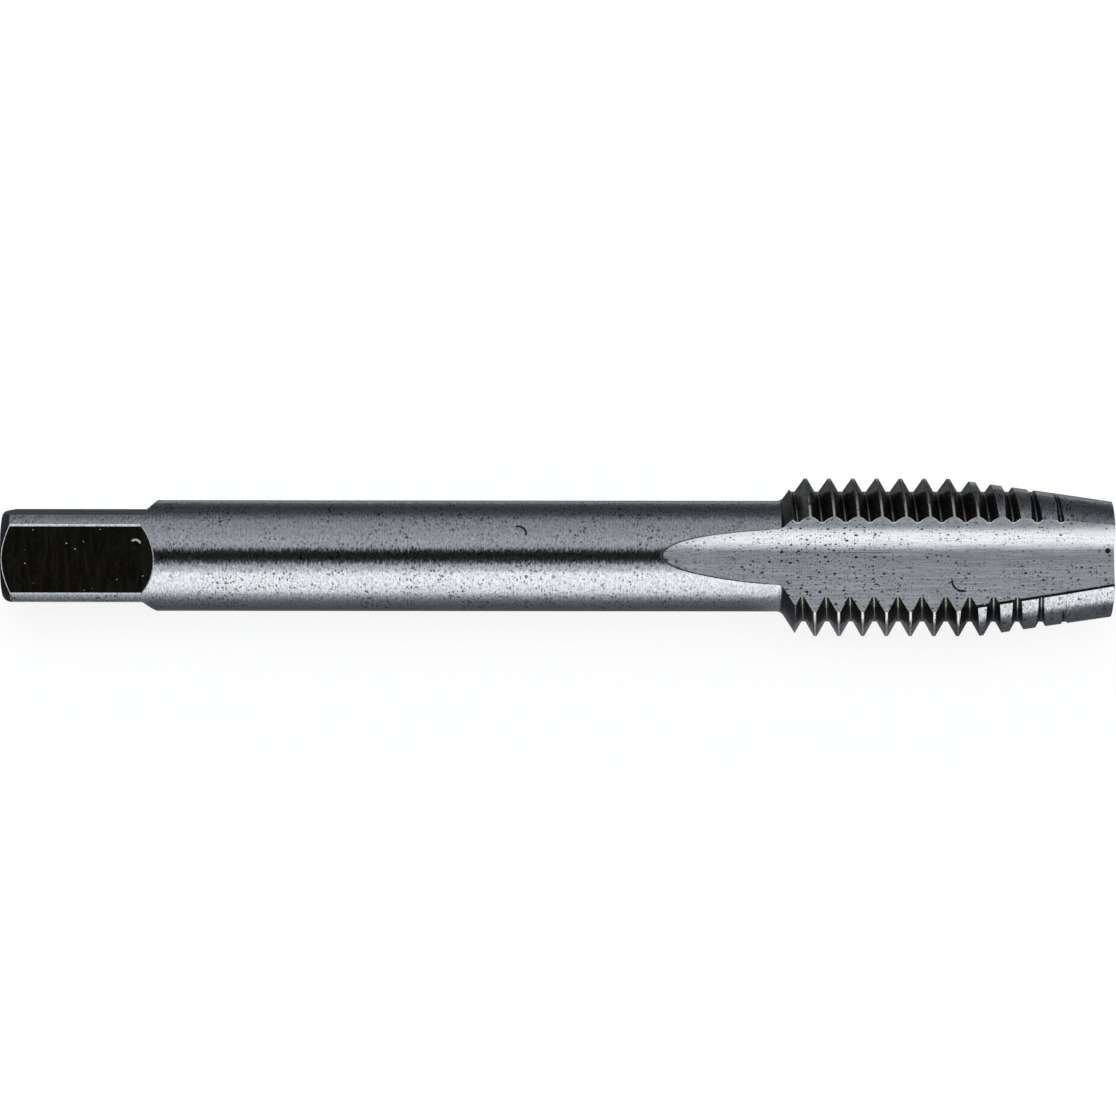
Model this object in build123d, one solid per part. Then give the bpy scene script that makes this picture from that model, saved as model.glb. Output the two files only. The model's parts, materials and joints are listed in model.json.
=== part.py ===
from build123d import *
import math
import os

# A straight-fluted hand tap for M10 x 1.5 holes, ground from one round bar of tool steel.
# All sizes are in millimetres and all angles in degrees. The tool is first shaped along +X, from
# the driving square at x = 0 to the cutting tip, and then laid down as it rests on a bench: on
# the edges of two lands, with a flute below, and on a corner of the square.
# Angles round the axis start at +Z, at the middle of the square's upper flat, and grow towards +Y.

# Shank and driving square
overall_length = 70.0
shank_diameter = 7.0
square_width = 5.5            # across flats
square_length = 8.93          # length of each flat
square_run_out_angle = 42.0   # slope of each flat's end, from the axis
end_bevel_length = 0.64
end_bevel_depth = 0.86

# Body that carries the thread
thread_diameter = 10.1        # ground slightly over the thread's nominal 10 mm
thread_pitch = 1.5
thread_angle = 60.0
body_length = 19.85           # full diameter, from the shoulder's edge to the tip
shoulder_angle = 57.0         # slope between shank and body, from the axis
shoulder_fillet = 0.5
first_crest = 0.08            # crest opposite the first angle, from the shoulder's edge

# Tapered lead, with each land backed off behind its cutting edge
lead_length = 8.4
lead_tip_diameter = 7.66      # across the cutting edges
lead_relief = 0.28            # drop from the cutting edge to the heel

# Flutes, each ground by a large wheel that lifts out over the shank
flute_count = 3
core_diameter = 4.74
flute_face_radius = 2.415     # arc that curls up to the cutting edge
flute_back_radius = 2.97      # arc on the side of the next land's heel
land_width = 4.01
flute_clocking = 6.57         # deepest line of the first flute, from the square's upper flat
flute_wheel_radius = 45.5
flute_full_length = 18.5      # at full depth, from the tip

# Centre holes that the tool is ground between
centre_angle = 60.0
tail_centre_diameter = 2.5
tail_pilot_diameter = 1.2
tail_pilot_depth = 2.6
tip_centre_diameter = 1.8
tip_pilot_diameter = 0.9
tip_pilot_depth = 1.9

# Cutters reach this far past the surfaces they cut
overcut = 1.0

# Sizes that follow from the ones above
shank_radius = shank_diameter / 2
thread_radius = thread_diameter / 2
core_radius = core_diameter / 2
body_start = overall_length - body_length
crest_flat = thread_pitch / 8
root_flat = thread_pitch / 6
flank_slope = math.tan(math.radians(thread_angle / 2))
thread_depth = (thread_pitch - crest_flat - root_flat) / (2 * flank_slope)
root_radius = thread_radius - thread_depth
shoulder_length = (thread_radius - shank_radius) / math.tan(math.radians(shoulder_angle))
land_angle = 2 * math.degrees(math.asin(land_width / thread_diameter))
flute_spacing = 360 / flute_count


def polar(radius, angle):
    """Point in a cross-section, with its first axis towards angle 0."""
    return Vector(radius * math.cos(math.radians(angle)), radius * math.sin(math.radians(angle)))


def make_blank():
    """Turned bar: bevelled end, shank, sloped shoulder and the body's full diameter."""
    profile = Polyline(
        (0, 0),
        (0, shank_radius - end_bevel_depth),
        (end_bevel_length, shank_radius),
        (body_start - shoulder_length, shank_radius),
        (body_start, thread_radius),
        (overall_length, thread_radius),
        (overall_length, 0),
        close=True,
    )
    section = make_face(profile)
    foot = section.vertices().sort_by_distance((body_start - shoulder_length, shank_radius))[0]
    return revolve(fillet(foot, shoulder_fillet), Axis.X, 360)


def face_crest_angle():
    """Angle from a flute's deepest line to its cutting edge, where the face's arc meets the
    full diameter."""
    centre = core_radius + flute_face_radius
    cosine = (thread_radius**2 + centre**2 - flute_face_radius**2) / (2 * thread_radius * centre)
    return math.degrees(math.acos(cosine))


cutting_edge_angle = face_crest_angle()
heel_angle = cutting_edge_angle - (flute_spacing - land_angle)


def flute_section(x):
    """Flute's cross-section: from its deepest line one arc curls up to the cutting edge, and a
    wider one leads into a straight back that passes through the heel of the next land."""
    root = Vector(core_radius, 0)
    edge = polar(thread_radius, cutting_edge_angle)
    face_centre = Vector(core_radius + flute_face_radius, 0)
    face_middle = face_centre - (face_centre - (root + edge) / 2).normalized() * flute_face_radius

    heel = polar(thread_radius, heel_angle)
    back_centre = Vector(core_radius + flute_back_radius, 0)
    to_heel = heel - back_centre
    turn = math.degrees(math.acos(flute_back_radius / to_heel.length))
    heel_direction = math.degrees(math.atan2(to_heel.Y, to_heel.X)) % 360
    back_start = back_centre + polar(flute_back_radius, heel_direction - turn)
    chord_middle = (root + back_start) / 2
    back_middle = back_centre - (back_centre - chord_middle).normalized() * flute_back_radius

    reach = 2 * overcut
    lip = (edge - face_centre).normalized()
    lip_end = edge + Vector(lip.Y, -lip.X) * reach
    back_end = heel + (heel - back_start).normalized() * reach
    top = thread_radius + reach

    outline = [
        ThreePointArc(root, face_middle, edge),
        Polyline(edge, lip_end, (top, lip_end.Y), (top, back_end.Y), back_end, back_start),
        ThreePointArc(back_start, back_middle, root),
    ]
    plane = Plane(origin=(x, 0, 0), x_dir=(0, 0, 1), z_dir=(-1, 0, 0))
    return plane * make_face(outline)


def make_flute_cutter():
    """Straight flute from the tip, then the arc of the wheel as it lifts out of the shank."""
    full_depth_end = overall_length - flute_full_length
    straight = extrude(flute_section(overall_length + overcut), flute_full_length + overcut)

    wheel_height = core_radius + flute_wheel_radius
    lift = shank_radius - core_radius + overcut
    lift_angle = math.degrees(math.acos(1 - lift / flute_wheel_radius))
    wheel_axis = Axis((full_depth_end, 0, wheel_height), (0, 1, 0))
    run_out = revolve(flute_section(full_depth_end), wheel_axis, lift_angle)
    return turned(straight + run_out, flute_clocking)


def turned(shape, angle):
    """Shape turned about the tool's axis, from +Z towards +Y."""
    return shape.rotate(Axis.X, -angle)


def make_lead_cutter():
    """Everything outside one land's share of the taper. The cone's axis is moved sideways, so
    that the land falls away behind its cutting edge."""
    offset = lead_relief / (2 * math.sin(math.radians(land_angle / 2)))
    taper = (thread_diameter - lead_tip_diameter) / 2 / lead_length
    middle_radius = lead_tip_diameter / 2 - lead_relief / 2
    outer_radius = thread_radius + overcut
    cone_start = overall_length - (outer_radius - middle_radius) / taper
    section = make_face(
        Polyline(
            (cone_start, 0, outer_radius),
            (overall_length + overcut, 0, outer_radius),
            (overall_length + overcut, 0, middle_radius - overcut * taper),
            close=True,
        )
    )
    half_share = flute_spacing / 2
    share = revolve(section.rotate(Axis.X, half_share), Axis.X, -flute_spacing)
    land_middle = flute_clocking + cutting_edge_angle + land_angle / 2
    moved = Pos(0, -offset, 0) * share
    return turned(moved, land_middle)


def make_groove_stretch(span):
    """One stretch of the helical groove with the basic 60 degree form, made along +Z and then
    laid along +X, which brings its start to the underside."""
    groove_top = thread_radius + crest_flat / (4 * flank_slope)
    half_top = root_flat / 2 + (groove_top - root_radius) * flank_slope
    section = make_face(
        Polyline(
            (root_radius, 0, -root_flat / 2),
            (groove_top, 0, -half_top),
            (groove_top, 0, half_top),
            (root_radius, 0, root_flat / 2),
            close=True,
        )
    )
    path = Helix(pitch=thread_pitch, height=thread_pitch * span / 360, radius=root_radius)
    return sweep(section, path=path, is_frenet=True).rotate(Axis.Y, 90)


def make_thread_grooves():
    """The helix cut land by land, from the foot of the shoulder to the tip. Each stretch crosses
    one land and ends in the flutes on both sides of it, and all lie on the same helix."""
    span = (land_angle + flute_spacing) / 2
    stretch = make_groove_stretch(span)
    first_groove = body_start + first_crest - thread_pitch / 2
    foot = body_start - shoulder_length - shoulder_fillet
    grooves = []
    for index in range(flute_count):
        land_middle = flute_clocking + cutting_edge_angle + land_angle / 2 + index * flute_spacing
        on_land = turned(stretch, land_middle + span / 2 - 180)
        lead_angle = 180 - span / 2 - land_middle
        nearest = first_groove + thread_pitch * lead_angle / 360
        turns_before = math.ceil((nearest - foot) / thread_pitch)
        turns = turns_before + math.ceil((overall_length - nearest) / thread_pitch)
        for turn in range(turns):
            grooves.append(Pos(nearest + (turn - turns_before) * thread_pitch, 0, 0) * on_land)
    return grooves


def make_square_cutter():
    """One flat of the driving square, with the slope that its cutter leaves at the shank."""
    outer = shank_radius + overcut
    slope = (outer - square_width / 2) / math.tan(math.radians(square_run_out_angle))
    section = make_face(
        Polyline(
            (-overcut, 0, square_width / 2),
            (square_length, 0, square_width / 2),
            (square_length + slope, 0, outer),
            (-overcut, 0, outer),
            close=True,
        )
    )
    return extrude(section, shank_diameter / 2 + overcut, both=True)


def make_centre_hole(diameter, pilot_diameter, pilot_depth):
    """Countersink and pilot that open at x = 0 and go along +X."""
    cone_depth = (diameter - pilot_diameter) / 2 / math.tan(math.radians(centre_angle / 2))
    profile = Polyline(
        (0, 0),
        (0, diameter / 2),
        (cone_depth, pilot_diameter / 2),
        (pilot_depth, pilot_diameter / 2),
        (pilot_depth, 0),
        close=True,
    )
    return revolve(make_face(profile), Axis.X, 360)


def make_tap():
    """The whole tool, in the order that it is ground."""
    tap = make_blank()
    flute = make_flute_cutter()
    lead = make_lead_cutter()
    for index in range(flute_count):
        tap -= flute.rotate(Axis.X, index * flute_spacing)
    for index in range(flute_count):
        tap -= lead.rotate(Axis.X, index * flute_spacing)
    tap -= make_thread_grooves()
    square = make_square_cutter()
    for index in range(4):
        tap -= square.rotate(Axis.X, index * 90)
    tap -= make_centre_hole(tail_centre_diameter, tail_pilot_diameter, tail_pilot_depth)
    tip_hole = make_centre_hole(tip_centre_diameter, tip_pilot_diameter, tip_pilot_depth)
    tap -= Pos(overall_length, 0, 0) * tip_hole.rotate(Axis.Y, 180)
    return tap


def on_tool(x, radius, angle):
    """Point at a station along the tool, before it is laid down."""
    across = polar(radius, angle)
    return Vector(x, across.Y, across.X)


def first_crest_at(angle):
    """Where the rearmost full crest begins on the line at this angle along the body."""
    offset = first_crest - crest_flat / 2 + thread_pitch * (180 - angle) / 360
    offset %= thread_pitch
    return body_start + (0 if offset > thread_pitch - crest_flat else offset)


def resting_points():
    """The three points that the tool rests on: the thread at the two edges of a flute, and the
    lowest point of its rear end, which is a corner of the square or the start of the shank."""
    flute_turn = flute_clocking - flute_spacing
    edge_angle = flute_turn + cutting_edge_angle
    heel_line = flute_turn + heel_angle
    down = (edge_angle + heel_line) / 2
    edge = on_tool(first_crest_at(edge_angle), thread_radius, edge_angle)
    heel = on_tool(first_crest_at(heel_line), thread_radius, heel_line)

    diagonal = 45 + 90 * math.floor(down / 90)
    half_corner = 45 - math.degrees(math.acos(square_width / shank_diameter))
    corner = min(max(down, diagonal - half_corner), diagonal + half_corner)
    to_flat = 90 * round(down / 90) - down
    run_out = max(0, shank_radius * math.cos(math.radians(to_flat)) - square_width / 2)
    shank_start = square_length + run_out / math.tan(math.radians(square_run_out_angle))
    rear_points = [
        on_tool(end_bevel_length, shank_radius, corner),
        on_tool(shank_start, shank_radius, down),
    ]

    front = (edge + heel) / 2
    below = on_tool(0, 1, down)

    def drop(point):
        return (front - point).dot(below) / (front.X - point.X)

    return edge, heel, min(rear_points, key=drop)


def laid_down(tap):
    """The tool at rest, with +X from its square towards its tip and the origin below the middle
    of its box. The flutes are a little narrower where their wheel lifts out, so the rear corners
    of the lands can stand a few hundredths below the plane of the three points."""
    edge, heel, rear = resting_points()
    up = (edge - rear).cross(heel - rear).normalized()
    along = Vector(1, 0, 0)
    bench = Plane(origin=rear, x_dir=along - up * along.dot(up), z_dir=up)
    resting = bench.to_local_coords(tap)
    box = resting.bounding_box()
    return Pos(-box.center().X, -box.center().Y, -box.min.Z) * resting


os.makedirs("parts", exist_ok=True)
thread_tap = laid_down(make_tap())
thread_tap.label = "thread_tap"
export_step(thread_tap, "parts/thread_tap.step")
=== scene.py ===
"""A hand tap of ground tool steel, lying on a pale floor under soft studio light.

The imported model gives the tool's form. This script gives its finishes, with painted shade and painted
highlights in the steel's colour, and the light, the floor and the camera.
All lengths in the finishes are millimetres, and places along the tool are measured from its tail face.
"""
import json
import math
from types import SimpleNamespace

import bpy
from mathutils import Matrix, Vector

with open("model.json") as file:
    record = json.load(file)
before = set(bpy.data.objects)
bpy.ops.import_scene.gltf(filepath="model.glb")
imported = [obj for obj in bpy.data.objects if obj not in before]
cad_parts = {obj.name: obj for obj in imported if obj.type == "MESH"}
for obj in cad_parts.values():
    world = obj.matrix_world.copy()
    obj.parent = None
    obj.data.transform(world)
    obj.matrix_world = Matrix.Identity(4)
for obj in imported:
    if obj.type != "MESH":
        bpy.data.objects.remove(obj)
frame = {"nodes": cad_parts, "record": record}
bpy.context.view_layer.update()

MM = 0.001


def grey(level):
    """A neutral colour."""
    return (level, level, level, 1.0)


# Places along the tool
SQUARE_END = 8.93
FLUTE_START = 41.2
THREAD_START = 48.9
FIRST_CREST = 50.23
LAST_ROOT = 67.2
TIP_FACE = 70.0

# Radii, and half the width of the square
SHANK_RADIUS = 3.5
CREST_RADIUS = 5.05
ROOT_RADIUS = 4.13
CORE_RADIUS = 2.37
HALF_SQUARE = 2.75

# The thread: its pitch, half a root's width in pitches and the slope of a flank
PITCH = 1.5
ROOT_HALF = 1 / 12
FLANK_RISE = 1.732

# The tail's bevel: its radius at the tail face and its rise along the tool
BEVEL_RADIUS = 2.64
BEVEL_RISE = 1.34

# The lead: its taper and the radius of a land's heel at the tip face
LEAD_TAPER = 0.1452
HEEL_TIP_RADIUS = 3.55

# The turn, in radians, of the middle line of the flute in view
FLUTE_LINE = 1.456

# A zone fades in over a range, with nothing of it at the first value and all of it at the second. These are
# the ranges along the tool.
ON_SQUARE = (SQUARE_END + 1.2, SQUARE_END + 1.0)
BESIDE_FLATS = (SQUARE_END, SQUARE_END - 0.1)
AT_FLAT_ENDS = (5.0, 6.0)
PAST_FLUTE_START = (FLUTE_START - 1.0, FLUTE_START)
BEFORE_SHOULDER = (THREAD_START - 0.3, THREAD_START - 0.8)
ON_THREAD = (THREAD_START - 0.6, THREAD_START)
PAST_SHOULDER = (FIRST_CREST - 0.35, FIRST_CREST - 0.05)
ON_LEAD = (59.5, 61.5)
BEFORE_LAST_ROOT = (LAST_ROOT, LAST_ROOT - 0.3)
BEFORE_TIP_FACE = (TIP_FACE - 0.02, TIP_FACE - 0.06)

# Ranges of the radius
UNDER_SHANK = (SHANK_RADIUS - 0.005, SHANK_RADIUS - 0.02)
AT_RUN_OUT_RIM = (SHANK_RADIUS - 0.07, SHANK_RADIUS - 0.04)
AT_FLAT_RIM = (SHANK_RADIUS - 0.055, SHANK_RADIUS - 0.035)
AT_FLAT_END_RIM = (SHANK_RADIUS - 0.08, SHANK_RADIUS - 0.06)
UP_THE_FACE = (2.9, 3.9)
ON_CRESTS = (CREST_RADIUS - 0.10, CREST_RADIUS - 0.05)

# Ranges of the tilt, which is 0 on a wall that runs along the tool and 1 on an end face
NOT_END_FACE = (0.98, 0.90)
STEEP = (0.30, 0.50)
SLOPING = (0.4, 0.5)
RUNNING_ALONG = (0.3, 0.2)

# Ranges of how squarely a wall faces out of the tool
FACING_OUT = (0.93, 0.97)
TURNED_AWAY = (0.93, 0.85)

# Ranges of the turn: from the flat on top to the one in front, and down the front of the shoulder
TOP_TO_FRONT = (0.72, 0.85)
DOWN_SHOULDER = (1.0, 1.6)

# Ranges of a distance: from the thread's profile, from the heel's line, from the flute's middle line and
# from a flat's plane
NEAR_CUTTING_EDGE = (0.22, 0.12)
NEAR_HEEL = (0.25, 0.17)
ON_FACE_SIDE = (0.0, 0.30)
NEAR_FLAT = (HALF_SQUARE - 0.06, HALF_SQUARE - 0.04)

# Half widths: a root's in radius and in pitches, the painted highlight lines' in pitches, and the bevel's edge
ROOT_DEPTH = 0.08
ROOT_ZONE = 0.16
CREST_LINE = 0.055
ROOT_LINE = 0.03
BEVEL_EDGE = 0.09

# Colours. A pair holds the two ends of an uneven colour.
SHANK_GREYS = ((0.52, 0.55, 0.58, 1.0), (0.91, 0.94, 0.97, 1.0))
FLUTE_GREYS = ((0.56, 0.59, 0.62, 1.0), (0.98, 0.99, 1.0, 1.0))
FLUTE_FACE = (0.84, 0.86, 0.89, 1.0)
UNDER_CUTTING_EDGE = (0.56, 0.58, 0.60, 1.0)
# Painted shade: the flats are painted near black for the dark they mirror, in another black on the flat on top
# and darker where their ends slope
FLAT_SHADE_BLACKS = ((0.014, 0.012, 0.005, 1.0), (0.036, 0.033, 0.021, 1.0))
TOP_FLAT_SHADE_BLACK = (0.018, 0.017, 0.013, 1.0)
FLAT_END_SHADE_BLACK = (0.006, 0.005, 0.004, 1.0)
# Painted shade: the thread's flanks, and its crests with them, are painted dark brown for the shade between the
# teeth
FLANK_SHADE_BROWNS = ((0.080, 0.072, 0.060, 1.0), (0.210, 0.200, 0.180, 1.0))
# Painted shade in the thread's roots, where the flanks meet
ROOT_SHADE_BLACK = (0.028, 0.025, 0.021, 1.0)
# Painted shade on the shoulder's slope, near black high up and a little lighter down its front
SHOULDER_SHADE_GREYS = ((0.008, 0.008, 0.007, 1.0), (0.080, 0.077, 0.073, 1.0))
# Painted highlight: the pale line along each crest and, fainter, each root
HIGHLIGHT_LINE_PALE = (0.88, 0.90, 0.91, 1.0)
PIT_BLACK = grey(0.03)
# Painted shadow: the dark line along the lands' heels and round the flute's run-out
SHADOW_LINE_BLACK = grey(0.02)
# Painted highlight on the flats' edges, shared with real dust and pale specks
SHEEN_AND_DUST_PALE = (0.80, 0.81, 0.80, 1.0)
GLINT_WHITE = grey(1.0)

# The part of a grain's range over which a colour or a mask goes from one end to the other
UNEVEN = (0.3, 0.7)
UNEVEN_ON_FLATS = (0.35, 0.75)
PATCHY = (0.35, 0.65)
BROKEN = (0.35, 0.6)
STREAKY = (0.4, 0.6)

# Grains: fineness along the tool, fineness round it, detail and roughness
SHANK_GRAIN = (9.0, 4.5, 3.0, 0.75)
FLUTE_STREAKS = (0.35, 9.0, 4.0, 0.75)
FLAT_GRAIN = (4.0, 0.4, 3.0, 0.6)
FRAYING = (9.0, 2.6, 3.0, 0.75)
PATCHES = (0.5, 0.5)
BREAKS = (7.0, 7.0)

# Scattered dots: cells per millimetre, the share of the cells that hold a dot, the largest dot's size, and
# below one where the dots are long round the tool
COARSE_PITS = (1.7, 0.55, 0.12)
SMALL_PITS = (3.3, 0.30, 0.08)
FINE_PITS = (6.0, 0.45, 0.05)
SHANK_DASHES = (4.5, 0.5, 0.055, 0.45)
FLAT_DUST = (1.9, 0.10, 0.055)
FLUTE_SPECKS = (2.9, 0.15, 0.045)

# Single marks
FLUTE_SCRATCH = {"along": 60.4, "turned": 1.986, "radius": 0.60, "toward": 2.3, "girth": 5.8}
SHANK_SCRATCH = {"along": 32.55, "turned": 1.06, "radius": 0.50, "toward": -0.8}
FLAT_SCRATCH = {"along": 8.55, "turned": 1.23, "radius": 0.30, "toward": -1.3}
TIP_STAIN = {"along": 69.60, "turned": 1.325, "radius": 0.21}
STREAK_ALONG = (54.1, 2.6)
STREAK_TURNED = (1.377, 0.02)
WORST_PITTED = (51.5, 6.0)

# Brightness that the steel mirrors of the floor, a painted shadow of the tool: millimetres behind the tool's
# middle, and the level there
BEHIND_TOOL = ((4.0, 0.10), (6.0, 0.60), (9.5, 0.60), (11.0, 0.09), (12.0, 0.09))
BESIDE_SHANK = (
    (-12.0, 0.98), (-11.0, 1.0), (-10.0, 0.90), (-7.2, 0.80), (-6.3, 0.56), (-5.6, 0.40), (-5.0, 0.26),
    (-4.4, 0.15), (-3.9, 0.12), (-3.4, 0.10), (-2.9, 0.08),
) + BEHIND_TOOL
BESIDE_THREAD = (
    (-12.0, 0.98), (-11.0, 1.0), (-10.0, 0.92), (-6.6, 0.88), (-6.0, 0.72), (-5.5, 0.35), (-5.0, 0.16),
    (-4.4, 0.10), (-3.0, 0.08),
) + BEHIND_TOOL

# Brightness of the room: degrees up from the front and over to the back, and the level there, first straight
# across the tool and then at a slant to it
ROOM_SQUARE_ON = (
    (0.0, 0.86), (4.0, 0.76), (9.0, 0.56), (17.0, 0.46), (21.0, 0.17), (25.0, 0.05), (30.0, 0.012),
    (46.0, 0.012), (50.0, 0.08), (56.0, 0.40), (68.0, 0.43), (82.0, 0.37), (96.0, 0.33), (111.0, 0.29),
    (122.0, 0.19), (130.0, 0.09), (141.0, 0.06), (156.0, 0.045), (168.0, 0.08), (180.0, 0.11),
)
ROOM_SLANTING = (
    (0.0, 0.86), (9.0, 0.60), (17.0, 0.46), (21.0, 0.17), (30.0, 0.03), (46.0, 0.03), (56.0, 0.40),
    (82.0, 0.38), (111.0, 0.34), (130.0, 0.30), (150.0, 0.38), (163.0, 0.55), (172.0, 0.78), (180.0, 0.86),
)


def mount_of(name):
    """The record's mount of that name: its point and its direction."""
    mount = next(m for m in frame["record"]["mounts"] if m["name"] == name)
    return Vector(mount["pos_m"]), Vector(mount["axis"]).normalized()


TAIL_POINT, _ = mount_of("tail_centre")
_, TOOL_AXIS = mount_of("tip_centre")
_, FLAT_NORMAL = mount_of("upper_drive_flat")


def tool_coordinates():
    """The place and turn that take a point of the model to the tool's own axes, in millimetres.

    X runs from the tail to the tip, Y is the upper drive flat's normal and Z completes a right-handed set.
    """
    side = TOOL_AXIS.cross(FLAT_NORMAL)
    turn = Matrix((TOOL_AXIS, FLAT_NORMAL, side))
    place = -(turn @ (TAIL_POINT / MM))
    return place, turn.to_euler("XYZ")


class Recipe:
    """A material's node tree, with one short call for each kind of node that the finishes use."""

    def __init__(self, tree):
        self.tree = tree
        self.tree.nodes.clear()

    def node(self, kind, inputs=(), **settings):
        """Adds a node, sets its properties and fills its inputs with values or links."""
        made = self.tree.nodes.new(kind)
        for name, value in settings.items():
            setattr(made, name, value)
        for key, value in dict(inputs).items():
            if isinstance(value, bpy.types.NodeSocket):
                self.tree.links.new(value, made.inputs[key])
            else:
                made.inputs[key].default_value = value
        return made

    def math(self, operation, *values, clamp=False):
        """A number worked out from numbers."""
        settings = {"operation": operation, "use_clamp": clamp}
        return self.node("ShaderNodeMath", enumerate(values), **settings).outputs[0]

    def vector(self, operation, *values, out=0):
        """A direction worked out from directions, or with out=1 a number."""
        return self.node("ShaderNodeVectorMath", enumerate(values), operation=operation).outputs[out]

    def scaled(self, vector, factor):
        """A vector made longer or shorter."""
        return self.node("ShaderNodeVectorMath", {0: vector, "Scale": factor}, operation="SCALE").outputs[0]

    def combine(self, x, y, z=0.0):
        """A place from its numbers."""
        return self.node("ShaderNodeCombineXYZ", {0: x, 1: y, 2: z}).outputs[0]

    def split(self, vector):
        """A place's numbers."""
        return self.node("ShaderNodeSeparateXYZ", {0: vector}).outputs

    def mix(self, share, first, last):
        """Blends two colours."""
        return self.node("ShaderNodeMix", {0: share, 6: first, 7: last}, data_type="RGBA").outputs[2]

    def blend(self, share, first, last):
        """Blends two numbers."""
        return self.node("ShaderNodeMix", {0: share, 2: first, 3: last}, data_type="FLOAT").outputs[0]

    def step(self, value, low, high, first=0.0, last=1.0):
        """A smooth change from first to last as value goes from low to high."""
        inputs = {"Value": value, "From Min": low, "From Max": high, "To Min": first, "To Max": last}
        return self.node("ShaderNodeMapRange", inputs, interpolation_type="SMOOTHSTEP").outputs[0]

    def band(self, value, middle, half_width):
        """One near the middle of a range, and zero past its half width."""
        distance = self.math("ABSOLUTE", self.math("SUBTRACT", value, middle))
        return self.step(distance, half_width, half_width * 0.5)

    def all_of(self, *masks):
        """Where all the masks hold."""
        result = masks[0]
        for mask in masks[1:]:
            result = self.math("MULTIPLY", result, mask)
        return result

    def any_of(self, *masks):
        """Where at least one of the masks holds."""
        result = masks[0]
        for mask in masks[1:]:
            result = self.math("MAXIMUM", result, mask)
        return result

    def outside(self, mask):
        """Where the mask doesn't hold."""
        return self.math("SUBTRACT", 1.0, mask)

    def fainter(self, mask, share):
        """A mask made weaker."""
        return self.math("MULTIPLY", mask, share)


class ToolSurface:
    """What the finishes need to know of a point: where it is on the tool, and which way its surface faces."""

    def __init__(self, made):
        place, turn = tool_coordinates()
        texture = made.node("ShaderNodeTexCoord").outputs
        point = texture["Object"]
        normal = texture["Normal"]
        own_axes = {"Vector": point, "Location": place, "Rotation": turn, "Scale": (1 / MM,) * 3}
        self.along, self.up, self.side = made.split(made.node("ShaderNodeMapping", own_axes).outputs[0])
        self.radius = made.vector("LENGTH", made.combine(0.0, self.up, self.side), out=1)
        self.turned = made.math("ARCTAN2", self.side, self.up)

        # Which way it faces: along the axis, straight out from it, and the direction round it
        self.axial = made.vector("DOT_PRODUCT", normal, tuple(TOOL_AXIS), out=1)
        self.tilt = made.math("ABSOLUTE", self.axial)
        offset = made.vector("SUBTRACT", point, tuple(TAIL_POINT))
        length = made.vector("DOT_PRODUCT", offset, tuple(TOOL_AXIS), out=1)
        outward = made.vector("SUBTRACT", offset, made.scaled(tuple(TOOL_AXIS), length))
        outward = made.vector("NORMALIZE", outward)
        self.facing_out = made.vector("DOT_PRODUCT", normal, outward, out=1)
        self.around = made.vector("CROSS_PRODUCT", tuple(TOOL_AXIS), outward)

        # A flute's two sides, 1 on the one with the cutting edge and -1 on the one with the next land's heel
        thirds = made.math("MULTIPLY_ADD", self.turned, 3.0, -3 * FLUTE_LINE)
        back_side = made.math("SIGN", made.math("SINE", thirds))
        self.face_side = made.math("MULTIPLY", back_side, -1.0)
        halves = made.math("MULTIPLY_ADD", self.turned, 1.5, -1.5 * FLUTE_LINE)
        self.from_line = made.math("ABSOLUTE", made.math("SINE", halves))

        # The way round the tool with the hollow of a flute spread out too
        depth = made.math("SUBTRACT", self.radius, CORE_RADIUS)
        down_the_side = made.math("MULTIPLY", back_side, depth)
        self.unrolled = made.math("MULTIPLY_ADD", self.turned, SHANK_RADIUS, down_the_side)


def grain(made, surface, along_scale, around_scale, detail=2.0, roughness=0.5):
    """An uneven value from 0 to 1, with its own fineness along the tool and round it."""
    around = made.math("MULTIPLY", surface.turned, SHANK_RADIUS)
    place = made.combine(
        made.math("MULTIPLY", surface.along, along_scale),
        made.math("MULTIPLY", around, around_scale),
        made.math("MULTIPLY", surface.radius, around_scale),
    )
    inputs = {"Vector": place, "Scale": 1.0, "Detail": detail, "Roughness": roughness}
    return made.node("ShaderNodeTexNoise", inputs).outputs["Fac"]


def specks(made, surface, scale, share, size, squash=1.0):
    """Small scattered dots of uneven size: in a share of the cells of a flat Voronoi pattern, the points near
    the cell's seed. Scale is in cells per millimetre, and size in millimetres. The pattern lies on the
    unrolled surface, in which the hollow of a flute is spread out too. A squash below one makes the dots
    long round the tool."""
    smallest = 0.3
    fill = 2.6
    edge = -2.2
    unrolled = made.math("MULTIPLY", surface.unrolled, squash)
    flat = made.combine(surface.along, unrolled)
    pattern = {"Vector": flat, "Scale": scale}
    cells = made.node("ShaderNodeTexVoronoi", pattern, voronoi_dimensions="2D").outputs
    chance = made.node("ShaderNodeSeparateColor", {0: cells["Color"]}).outputs
    chosen = made.math("LESS_THAN", chance[0], share)
    largest_reach = size * scale
    reach = made.math("MULTIPLY_ADD", chance[1], largest_reach * (1 - smallest), largest_reach * smallest)
    distance = made.math("DIVIDE", cells["Distance"], reach)
    return made.all_of(chosen, made.math("MULTIPLY_ADD", distance, edge, fill, clamp=True))


def from_place(made, surface, along, turned, girth):
    """The way to a point from one place on the tool, on a surface unrolled at the radius called girth."""
    x = made.math("SUBTRACT", surface.along, along)
    y = made.math("MULTIPLY", made.math("SUBTRACT", surface.turned, turned), girth)
    return made.combine(x, y)


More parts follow.
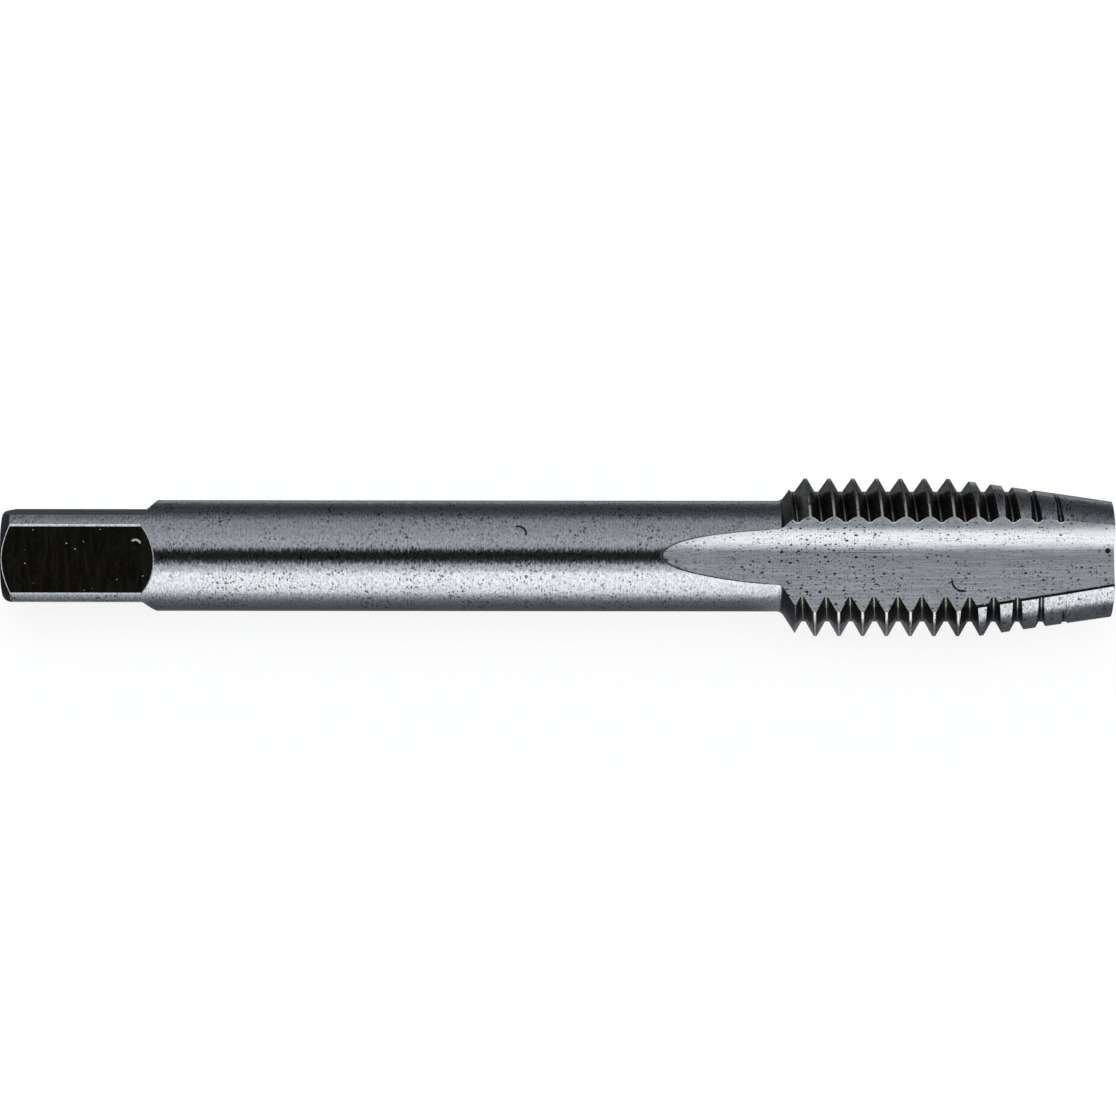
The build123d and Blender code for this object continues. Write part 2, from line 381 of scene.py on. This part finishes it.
def hook_mark(made, surface, along, turned, radius, toward, girth=SHANK_RADIUS):
    """A short curved scratch: the part of a thin ring that lies toward one side, on the unrolled surface."""
    half_width = 0.09
    ends = (0.35, 0.6)
    offset = from_place(made, surface, along, turned, girth)
    ring = made.band(made.vector("LENGTH", offset, out=1), radius, half_width)
    heading = (math.cos(toward), math.sin(toward), 0.0)
    side = made.vector("DOT_PRODUCT", made.vector("NORMALIZE", offset), heading, out=1)
    return made.all_of(ring, made.step(side, *ends))


def stain(made, surface, along, turned, radius):
    """One round stain in a flute."""
    offset = from_place(made, surface, along, turned, CORE_RADIUS)
    return made.step(made.vector("LENGTH", offset, out=1), radius, radius * 0.6)


def finish_zones(made, surface):
    """Where each finish and each painted shade is: the square's flats, the thread's flanks, the shoulder's slope
    and the flutes.
    """
    under_shank = made.step(surface.radius, *UNDER_SHANK)
    on_square = made.step(surface.along, *ON_SQUARE)
    flats = made.all_of(under_shank, on_square, made.step(surface.tilt, *NOT_END_FACE))

    on_thread = made.step(surface.along, *ON_THREAD)
    before_tip_face = made.step(surface.along, *BEFORE_TIP_FACE)
    steep = made.all_of(on_thread, made.step(surface.tilt, *STEEP), before_tip_face)
    past_shoulder = made.step(surface.along, *PAST_SHOULDER)
    toward_tail = made.math("LESS_THAN", surface.axial, 0.0)
    shoulder = made.all_of(steep, made.outside(past_shoulder), toward_tail)

    hollow = made.any_of(under_shank, made.step(surface.facing_out, *TURNED_AWAY))
    flutes = made.all_of(made.step(surface.along, *PAST_FLUTE_START), hollow, made.outside(steep))
    up_from_line = made.math("MULTIPLY", surface.face_side, surface.from_line)
    face = made.all_of(flutes, made.step(up_from_line, *ON_FACE_SIDE))
    return SimpleNamespace(
        flats=flats,
        on_thread=on_thread,
        flanks=made.all_of(steep, past_shoulder),
        shoulder=shoulder,
        flutes=flutes,
        face=face,
    )


def thread_lines(made, surface, zones):
    """The thread's crests and roots, the painted highlight line along each, and the scalloped cutting edge."""
    # The place between two crests of the right-hand helix: 0 on the first, 0.5 in the root, 1 on the next
    turns = made.math("DIVIDE", made.math("ADD", surface.turned, math.pi / 2), -2 * math.pi)
    pitches = made.math("DIVIDE", made.math("SUBTRACT", surface.along, FIRST_CREST), PITCH)
    whole_turns = 10.0
    phase = made.math("FRACT", made.math("ADD", made.math("ADD", pitches, turns), whole_turns))
    from_root = made.math("ABSOLUTE", made.math("SUBTRACT", phase, 0.5))

    facing = made.step(surface.facing_out, *FACING_OUT)
    before_last = made.step(surface.along, *BEFORE_LAST_ROOT)
    at_depth = made.band(surface.radius, ROOT_RADIUS, ROOT_DEPTH)
    in_root = made.band(phase, 0.5, ROOT_ZONE)
    roots = made.all_of(zones.on_thread, at_depth, before_last, facing, in_root)
    crests = made.all_of(zones.on_thread, made.step(surface.radius, *ON_CRESTS), facing)

    # The profile's radius rises from the root along the flank, and is cut off at the root and at the crest
    root_edge = ROOT_RADIUS - ROOT_HALF * PITCH * FLANK_RISE
    profile = made.math("MULTIPLY_ADD", from_root, PITCH * FLANK_RISE, root_edge)
    profile = made.math("MINIMUM", made.math("MAXIMUM", profile, ROOT_RADIUS), CREST_RADIUS)
    under_profile = made.math("SUBTRACT", profile, surface.radius)
    on_face_side = made.math("GREATER_THAN", surface.face_side, 0.0)
    near_edge = made.step(under_profile, *NEAR_CUTTING_EDGE)
    return SimpleNamespace(
        roots=roots,
        crests=crests,
        crest_lines=made.all_of(crests, made.band(from_root, 0.5, CREST_LINE)),
        root_lines=made.all_of(roots, made.band(phase, 0.5, ROOT_LINE)),
        cutting_edge=made.all_of(zones.flutes, zones.on_thread, before_last, on_face_side, near_edge),
    )


def uneven(made, value, pair, ends=UNEVEN):
    """A colour that wanders between the two of a pair."""
    return made.mix(made.step(value, *ends), *pair)


def bare_colour(made, surface, zones, lines, shank_grain, streaks):
    """The bare finishes: ground shank and flutes, painted shade on the flats, flanks, roots and shoulder, and
    painted highlight lines.
    """
    face_share = 0.5
    root_line_share = 0.45
    shank = uneven(made, shank_grain, SHANK_GREYS)
    flute = uneven(made, streaks, FLUTE_GREYS)
    flute = made.mix(made.fainter(zones.face, face_share), flute, FLUTE_FACE)
    high_on_face = made.all_of(zones.face, made.step(surface.radius, *UP_THE_FACE))
    flute = made.mix(high_on_face, flute, UNDER_CUTTING_EDGE)
    # Painted shade: the flats are painted near black, in another black on the flat on top and a darker one where
    # their ends slope
    flat = uneven(made, grain(made, surface, *FLAT_GRAIN), FLAT_SHADE_BLACKS, UNEVEN_ON_FLATS)
    flat = made.mix(made.step(surface.turned, *TOP_TO_FRONT), TOP_FLAT_SHADE_BLACK, flat)
    flat = made.mix(made.step(surface.tilt, *SLOPING), flat, FLAT_END_SHADE_BLACK)
    flank = uneven(made, shank_grain, FLANK_SHADE_BROWNS)
    shoulder = uneven(made, surface.turned, SHOULDER_SHADE_GREYS, DOWN_SHOULDER)

    colour = made.mix(zones.flutes, shank, flute)
    # Painted shade on the thread's flanks and crests
    colour = made.mix(made.any_of(zones.flanks, lines.crests), colour, flank)
    # Painted shade in the thread's roots
    colour = made.mix(lines.roots, colour, ROOT_SHADE_BLACK)
    # Painted shade on the shoulder's slope
    colour = made.mix(zones.shoulder, colour, shoulder)
    # Painted highlights along the crests and, fainter, the roots
    highlight_lines = made.any_of(lines.crest_lines, made.fainter(lines.root_lines, root_line_share))
    colour = made.mix(highlight_lines, colour, HIGHLIGHT_LINE_PALE)
    return made.mix(zones.flats, colour, flat)


def pits_and_marks(made, surface, zones, streaks):
    """Dark pits all over, in patches, and a few single marks."""
    fine_share = 0.8
    shank_share = 0.8
    thinnest = 0.35
    pits = made.any_of(specks(made, surface, *COARSE_PITS), specks(made, surface, *SMALL_PITS))
    pits = made.any_of(pits, made.fainter(specks(made, surface, *FINE_PITS), fine_share))
    dashes = made.all_of(specks(made, surface, *SHANK_DASHES), made.outside(zones.flutes))
    patchy = made.step(grain(made, surface, *PATCHES), *PATCHY, thinnest, 1.0)
    worst = made.all_of(zones.flutes, made.band(surface.along, *WORST_PITTED))
    strength = made.blend(zones.flutes, shank_share, 1.0)
    pits = made.all_of(made.any_of(pits, dashes), made.any_of(patchy, worst), strength)

    scratches = made.any_of(
        hook_mark(made, surface, **FLUTE_SCRATCH),
        hook_mark(made, surface, **SHANK_SCRATCH),
    )
    streak = made.all_of(
        made.band(surface.along, *STREAK_ALONG),
        made.band(surface.turned, *STREAK_TURNED),
        zones.flutes,
        made.step(streaks, *STREAKY),
    )
    return made.any_of(pits, scratches, stain(made, surface, **TIP_STAIN), streak)


def painted_shadow_lines(made, surface, zones):
    """Painted shadow lines: the dark line along the heel of the lead's lands, and the fainter one round the
    flute's run-out.
    """
    rim_share = 0.85
    tip_to_tail = HEEL_TIP_RADIUS + LEAD_TAPER * TIP_FACE
    heel_radius = made.math("MULTIPLY_ADD", surface.along, -LEAD_TAPER, tip_to_tail)
    under_heel = made.math("SUBTRACT", heel_radius, surface.radius)
    on_back = made.math("LESS_THAN", surface.face_side, 0.0)
    on_lead = made.step(surface.along, *ON_LEAD)
    heel = made.all_of(zones.flutes, on_back, on_lead, made.step(under_heel, *NEAR_HEEL))
    before_shoulder = made.step(surface.along, *BEFORE_SHOULDER)
    rim_shade = made.all_of(zones.flutes, before_shoulder, made.step(surface.radius, *AT_RUN_OUT_RIM))
    return heel, made.fainter(rim_shade, rim_share)


def edge_sheen_and_dust(made, surface, zones, broken):
    """Painted highlights along the flats' edges, fainter along the flat on top, with dust and pale specks. They
    all scatter light, so they look pale from every side."""
    on_top = 0.12
    end_edge_share = 0.7
    dust_share = 0.7
    along_the_tool = made.step(surface.tilt, *RUNNING_ALONG)
    outermost = made.any_of(made.math("ABSOLUTE", surface.up), made.math("ABSOLUTE", surface.side))
    beside_flats = made.all_of(
        made.step(surface.radius, *AT_FLAT_RIM),
        made.step(outermost, *NEAR_FLAT),
        made.step(surface.along, *BESIDE_FLATS),
        along_the_tool,
    )
    bevel_radius = made.math("MULTIPLY_ADD", surface.along, BEVEL_RISE, BEVEL_RADIUS)
    from_bevel = made.math("SUBTRACT", surface.radius, bevel_radius)
    at_bevel = made.all_of(zones.flats, made.band(from_bevel, 0.0, BEVEL_EDGE), along_the_tool)
    at_flat_ends = made.all_of(
        zones.flats,
        made.step(surface.radius, *AT_FLAT_END_RIM),
        made.step(surface.tilt, *SLOPING),
        made.step(surface.along, *AT_FLAT_ENDS),
    )
    edges = made.any_of(beside_flats, at_bevel, made.fainter(at_flat_ends, end_edge_share))
    # The painted highlight on the edges is fainter along the flat on top
    edges = made.all_of(edges, broken, made.step(surface.turned, *TOP_TO_FRONT, on_top, 1.0))

    dust = made.any_of(specks(made, surface, *FLAT_DUST), hook_mark(made, surface, **FLAT_SCRATCH))
    dust = made.all_of(dust, zones.flats)
    pale_specks = made.all_of(specks(made, surface, *FLUTE_SPECKS), zones.flutes)
    return made.any_of(edges, made.fainter(made.any_of(dust, pale_specks), dust_share))


def metal_share(made, surface, zones):
    """How far each finish mirrors as bare metal does. The flat on top and the upper shoulder do it more."""
    shank, flute = 1.0, 0.94
    top_flat, front_flat = 0.88, 0.80
    upper_shoulder, lower_shoulder = 1.0, 0.85
    share = made.blend(zones.flutes, shank, flute)
    flats = made.step(surface.turned, *TOP_TO_FRONT, top_flat, front_flat)
    share = made.blend(zones.flats, share, flats)
    down_slope = made.step(surface.turned, *DOWN_SHOULDER, upper_shoulder, lower_shoulder)
    return made.blend(zones.shoulder, share, down_slope)


def frayed_normal(made, surface, zones, streaks):
    """The surface's direction with rounded edges, swung a little sideways by the fine unevenness of grinding,
    which frays the edges of the reflections. The side with the cutting edge leans a little all over."""
    shank_swing = 0.28
    flute_swing = 0.14
    face_lean = 0.055
    rounding = 0.05 * MM
    sideways = grain(made, surface, *FRAYING)
    on_shank = made.math("MULTIPLY", made.math("SUBTRACT", sideways, 0.5), shank_swing)
    in_flutes = made.math("MULTIPLY", made.math("SUBTRACT", streaks, 0.5), flute_swing)
    swing = made.blend(zones.flutes, on_shank, in_flutes)
    swing = made.math("MULTIPLY_ADD", zones.face, face_lean, swing)
    rounded = made.node("ShaderNodeBevel", {"Radius": rounding}, samples=4).outputs[0]
    return made.vector("NORMALIZE", made.vector("ADD", rounded, made.scaled(surface.around, swing)))


def surface_roughness(made, zones):
    """The shank is the smoothest, and a flute is rougher on its back than on its face."""
    shank, flats, flute_back, flute_face = 0.19, 0.30, 0.37, 0.19
    roughness = made.blend(zones.flutes, shank, made.blend(zones.face, flute_back, flute_face))
    return made.blend(zones.flats, roughness, flats)


def ground_steel():
    """The tool's one material: ground shank, flats and flanks painted dark as painted shade, bright flutes
    ground lengthwise.
    """
    material = bpy.data.materials.new("ground_tool_steel")
    material.use_nodes = True
    made = Recipe(material.node_tree)
    surface = ToolSurface(made)
    zones = finish_zones(made, surface)
    lines = thread_lines(made, surface, zones)
    shank_grain = grain(made, surface, *SHANK_GRAIN)
    streaks = grain(made, surface, *FLUTE_STREAKS)
    faintest = 0.65
    broken = made.step(grain(made, surface, *BREAKS), *BROKEN, faintest, 1.0)

    colour = bare_colour(made, surface, zones, lines, shank_grain, streaks)
    colour = made.mix(pits_and_marks(made, surface, zones, streaks), colour, PIT_BLACK)
    # Painted shadow lines along the lands' heels and round the run-out
    for shadow_line in painted_shadow_lines(made, surface, zones):
        colour = made.mix(shadow_line, colour, SHADOW_LINE_BLACK)
    # Painted highlights on the flats' edges, with real dust and pale specks
    sheen_and_dust = edge_sheen_and_dust(made, surface, zones, broken)
    colour = made.mix(sheen_and_dust, colour, SHEEN_AND_DUST_PALE)
    glint = made.all_of(lines.cutting_edge, broken)
    colour = made.mix(glint, colour, GLINT_WHITE)
    metal = metal_share(made, surface, zones)
    metallic = made.math("SUBTRACT", metal, made.any_of(sheen_and_dust, glint), clamp=True)

    # Grinding runs round the shank and along the flutes
    grinding = {0: zones.flutes, 4: tuple(TOOL_AXIS), 5: surface.around}
    shader = made.node(
        "ShaderNodeBsdfPrincipled",
        {
            "Base Color": colour,
            "Metallic": metallic,
            "Roughness": surface_roughness(made, zones),
            "Anisotropic": 0.8,
            "Tangent": made.node("ShaderNodeMix", grinding, data_type="VECTOR").outputs[1],
            "Normal": frayed_normal(made, surface, zones, streaks),
        },
    )
    made.node("ShaderNodeOutputMaterial", {"Surface": shader.outputs[0]})
    return material


def level_ramp(made, value, low, high, stops):
    """A brightness that follows straight lines between stops. Each stop is a place between low and high and
    the level there."""
    limits = {"Value": value, "From Min": low, "From Max": high}
    share = made.node("ShaderNodeMapRange", limits).outputs[0]
    ramp_node = made.node("ShaderNodeValToRGB", {0: share})
    ramp = ramp_node.color_ramp
    while len(ramp.elements) < len(stops):
        ramp.elements.new(0.5)
    for element, (place, level) in zip(ramp.elements, stops):
        element.position = (place - low) / (high - low)
        element.color = grey(level)
    return made.node("ShaderNodeSeparateColor", {0: ramp_node.outputs[0]}).outputs[0]


def mirrored_floor_level(made):
    """The brightness that the steel mirrors of the floor, a painted shadow of the tool: dark close to the tool,
    as in the photograph, and a little lighter under the full teeth and far behind."""
    reach = 12.0
    gain = 1.15
    shank_to_thread = (10.0, 22.0)
    teeth_start = (12.0, 15.0)
    teeth_end = (26.0, 22.0)
    beside_teeth = (5.2, 4.2)
    teeth_lift = 0.12
    far_behind = (21.0, 25.0)
    far_lift = 0.15
    place = made.split(made.node("ShaderNodeTexCoord").outputs["Object"])
    along = made.math("DIVIDE", place["X"], MM)
    back = made.math("DIVIDE", place["Y"], MM)
    beside_shank = level_ramp(made, back, -reach, reach, BESIDE_SHANK)
    beside_thread = level_ramp(made, back, -reach, reach, BESIDE_THREAD)
    level = made.blend(made.step(along, *shank_to_thread), beside_shank, beside_thread)
    level = made.math("MULTIPLY", level, gain)
    under_teeth = made.all_of(
        made.step(along, *teeth_start),
        made.step(along, *teeth_end),
        made.step(made.math("ABSOLUTE", back), *beside_teeth),
    )
    level = made.math("MULTIPLY_ADD", under_teeth, teeth_lift, level)
    return made.math("MULTIPLY_ADD", made.step(back, *far_behind), far_lift, level)


def pale_floor():
    """The floor's material: a faint white paint that takes the tool's soft shadow, and a light of its own that
    makes it look nearly white to the eye. Only the steel mirrors the darker level, a painted shadow of the tool,
    cool where it is low."""
    eye_light = 0.89
    paint_share = 0.12
    cool = (0.94, 1.0, 1.08, 1.0)
    cool_below = (0.6, 0.25)
    material = bpy.data.materials.new("pale_floor")
    material.use_nodes = True
    made = Recipe(material.node_tree)
    path = made.node("ShaderNodeLightPath").outputs
    seen = made.math("ADD", path["Is Camera Ray"], path["Is Transmission Ray"], clamp=True)
    mirrored = path["Is Glossy Ray"]
    level = mirrored_floor_level(made)
    for_steel = made.math("MULTIPLY", mirrored, level)
    own_light = made.math("MULTIPLY_ADD", seen, eye_light, for_steel)
    paint_level = made.fainter(made.outside(mirrored), paint_share)
    white = made.node("ShaderNodeCombineColor", {0: paint_level, 1: paint_level, 2: paint_level}).outputs[0]
    paint = made.node("ShaderNodeBsdfDiffuse", {"Color": white}).outputs[0]
    coolness = made.all_of(mirrored, made.step(level, *cool_below))
    glow_colour = made.mix(coolness, grey(1.0), cool)
    glow = made.node("ShaderNodeEmission", {"Color": glow_colour, "Strength": own_light}).outputs[0]
    both = made.node("ShaderNodeAddShader", {0: paint, 1: glow}).outputs[0]
    made.node("ShaderNodeOutputMaterial", {"Surface": both})
    return material


def studio_floor():
    """A wide flat floor under the tool."""
    half = 3.0
    corners = [(-half, -half, 0), (half, -half, 0), (half, half, 0), (-half, half, 0)]
    mesh = bpy.data.meshes.new("studio_floor")
    mesh.from_pydata(corners, [], [(0, 1, 2, 3)])
    mesh.materials.append(pale_floor())
    floor = bpy.data.objects.new("studio_floor", mesh)
    bpy.context.scene.collection.objects.link(floor)


def studio_light():
    """An even dome for the floor. For the steel it is a room: bright low in front, dark round the camera,
    grey above and dim behind, and lighter where the steel mirrors its ends."""
    half_turn = 180.0
    at_a_slant = (0.36, 0.60)
    at_the_ends = (0.80, 0.97)
    end_level = 0.40
    dome_level = 1.0
    cool_white = (0.97, 1.0, 1.05, 1.0)
    world = bpy.data.worlds.new("studio")
    bpy.context.scene.world = world
    world.use_nodes = True
    made = Recipe(world.node_tree)
    direction = made.split(made.node("ShaderNodeTexCoord").outputs["Generated"])
    front = made.math("MULTIPLY", direction["Y"], -1.0)
    height = made.math("DEGREES", made.math("ARCTAN2", direction["Z"], front))
    square_on = level_ramp(made, height, 0.0, half_turn, ROOM_SQUARE_ON)
    slanting = level_ramp(made, height, 0.0, half_turn, ROOM_SLANTING)
    slant = made.math("ABSOLUTE", direction["X"])
    level = made.blend(made.step(slant, *at_a_slant), square_on, slanting)
    level = made.blend(made.step(slant, *at_the_ends), level, end_level)
    path = made.node("ShaderNodeLightPath").outputs
    level = made.blend(path["Is Diffuse Ray"], level, dome_level)
    sky = made.node("ShaderNodeBackground", {"Color": cool_white, "Strength": level})
    made.node("ShaderNodeOutputWorld", {"Surface": sky.outputs[0]})


def photograph_camera():
    """The photograph's view: a long lens held square to the tool, looking down at it from in front. The
    camera is set from the tool's own axis and flats, and sees its facing flat almost head-on."""
    above_flat = math.radians(5.51)
    roll = math.radians(-0.07)
    distance = 361.11 * MM
    middle = 35.0616 * MM
    drop = 0.1311 * MM
    facing = TOOL_AXIS.cross(FLAT_NORMAL)
    back = facing * math.cos(above_flat) + FLAT_NORMAL * math.sin(above_flat)
    over = FLAT_NORMAL * math.cos(above_flat) - facing * math.sin(above_flat)
    right = TOOL_AXIS * math.cos(roll) - over * math.sin(roll)
    up = TOOL_AXIS * math.sin(roll) + over * math.cos(roll)
    data = bpy.data.cameras.new("photograph_camera")
    data.lens = 184.2
    data.sensor_width = 36.0
    data.clip_start = 0.01
    data.clip_end = 20.0
    camera = bpy.data.objects.new("photograph_camera", data)
    bpy.context.scene.collection.objects.link(camera)
    camera.location = TAIL_POINT + TOOL_AXIS * middle - up * drop + back * distance
    camera.rotation_euler = Matrix((right, up, back)).transposed().to_euler()
    bpy.context.scene.camera = camera


def main():
    tap = frame["nodes"]["thread_tap"]
    steel = ground_steel()
    for place in tap.material_slots:
        place.material = steel
    studio_floor()
    studio_light()
    photograph_camera()
    bpy.context.scene.view_settings.view_transform = "Standard"


main()
bpy.context.view_layer.update()
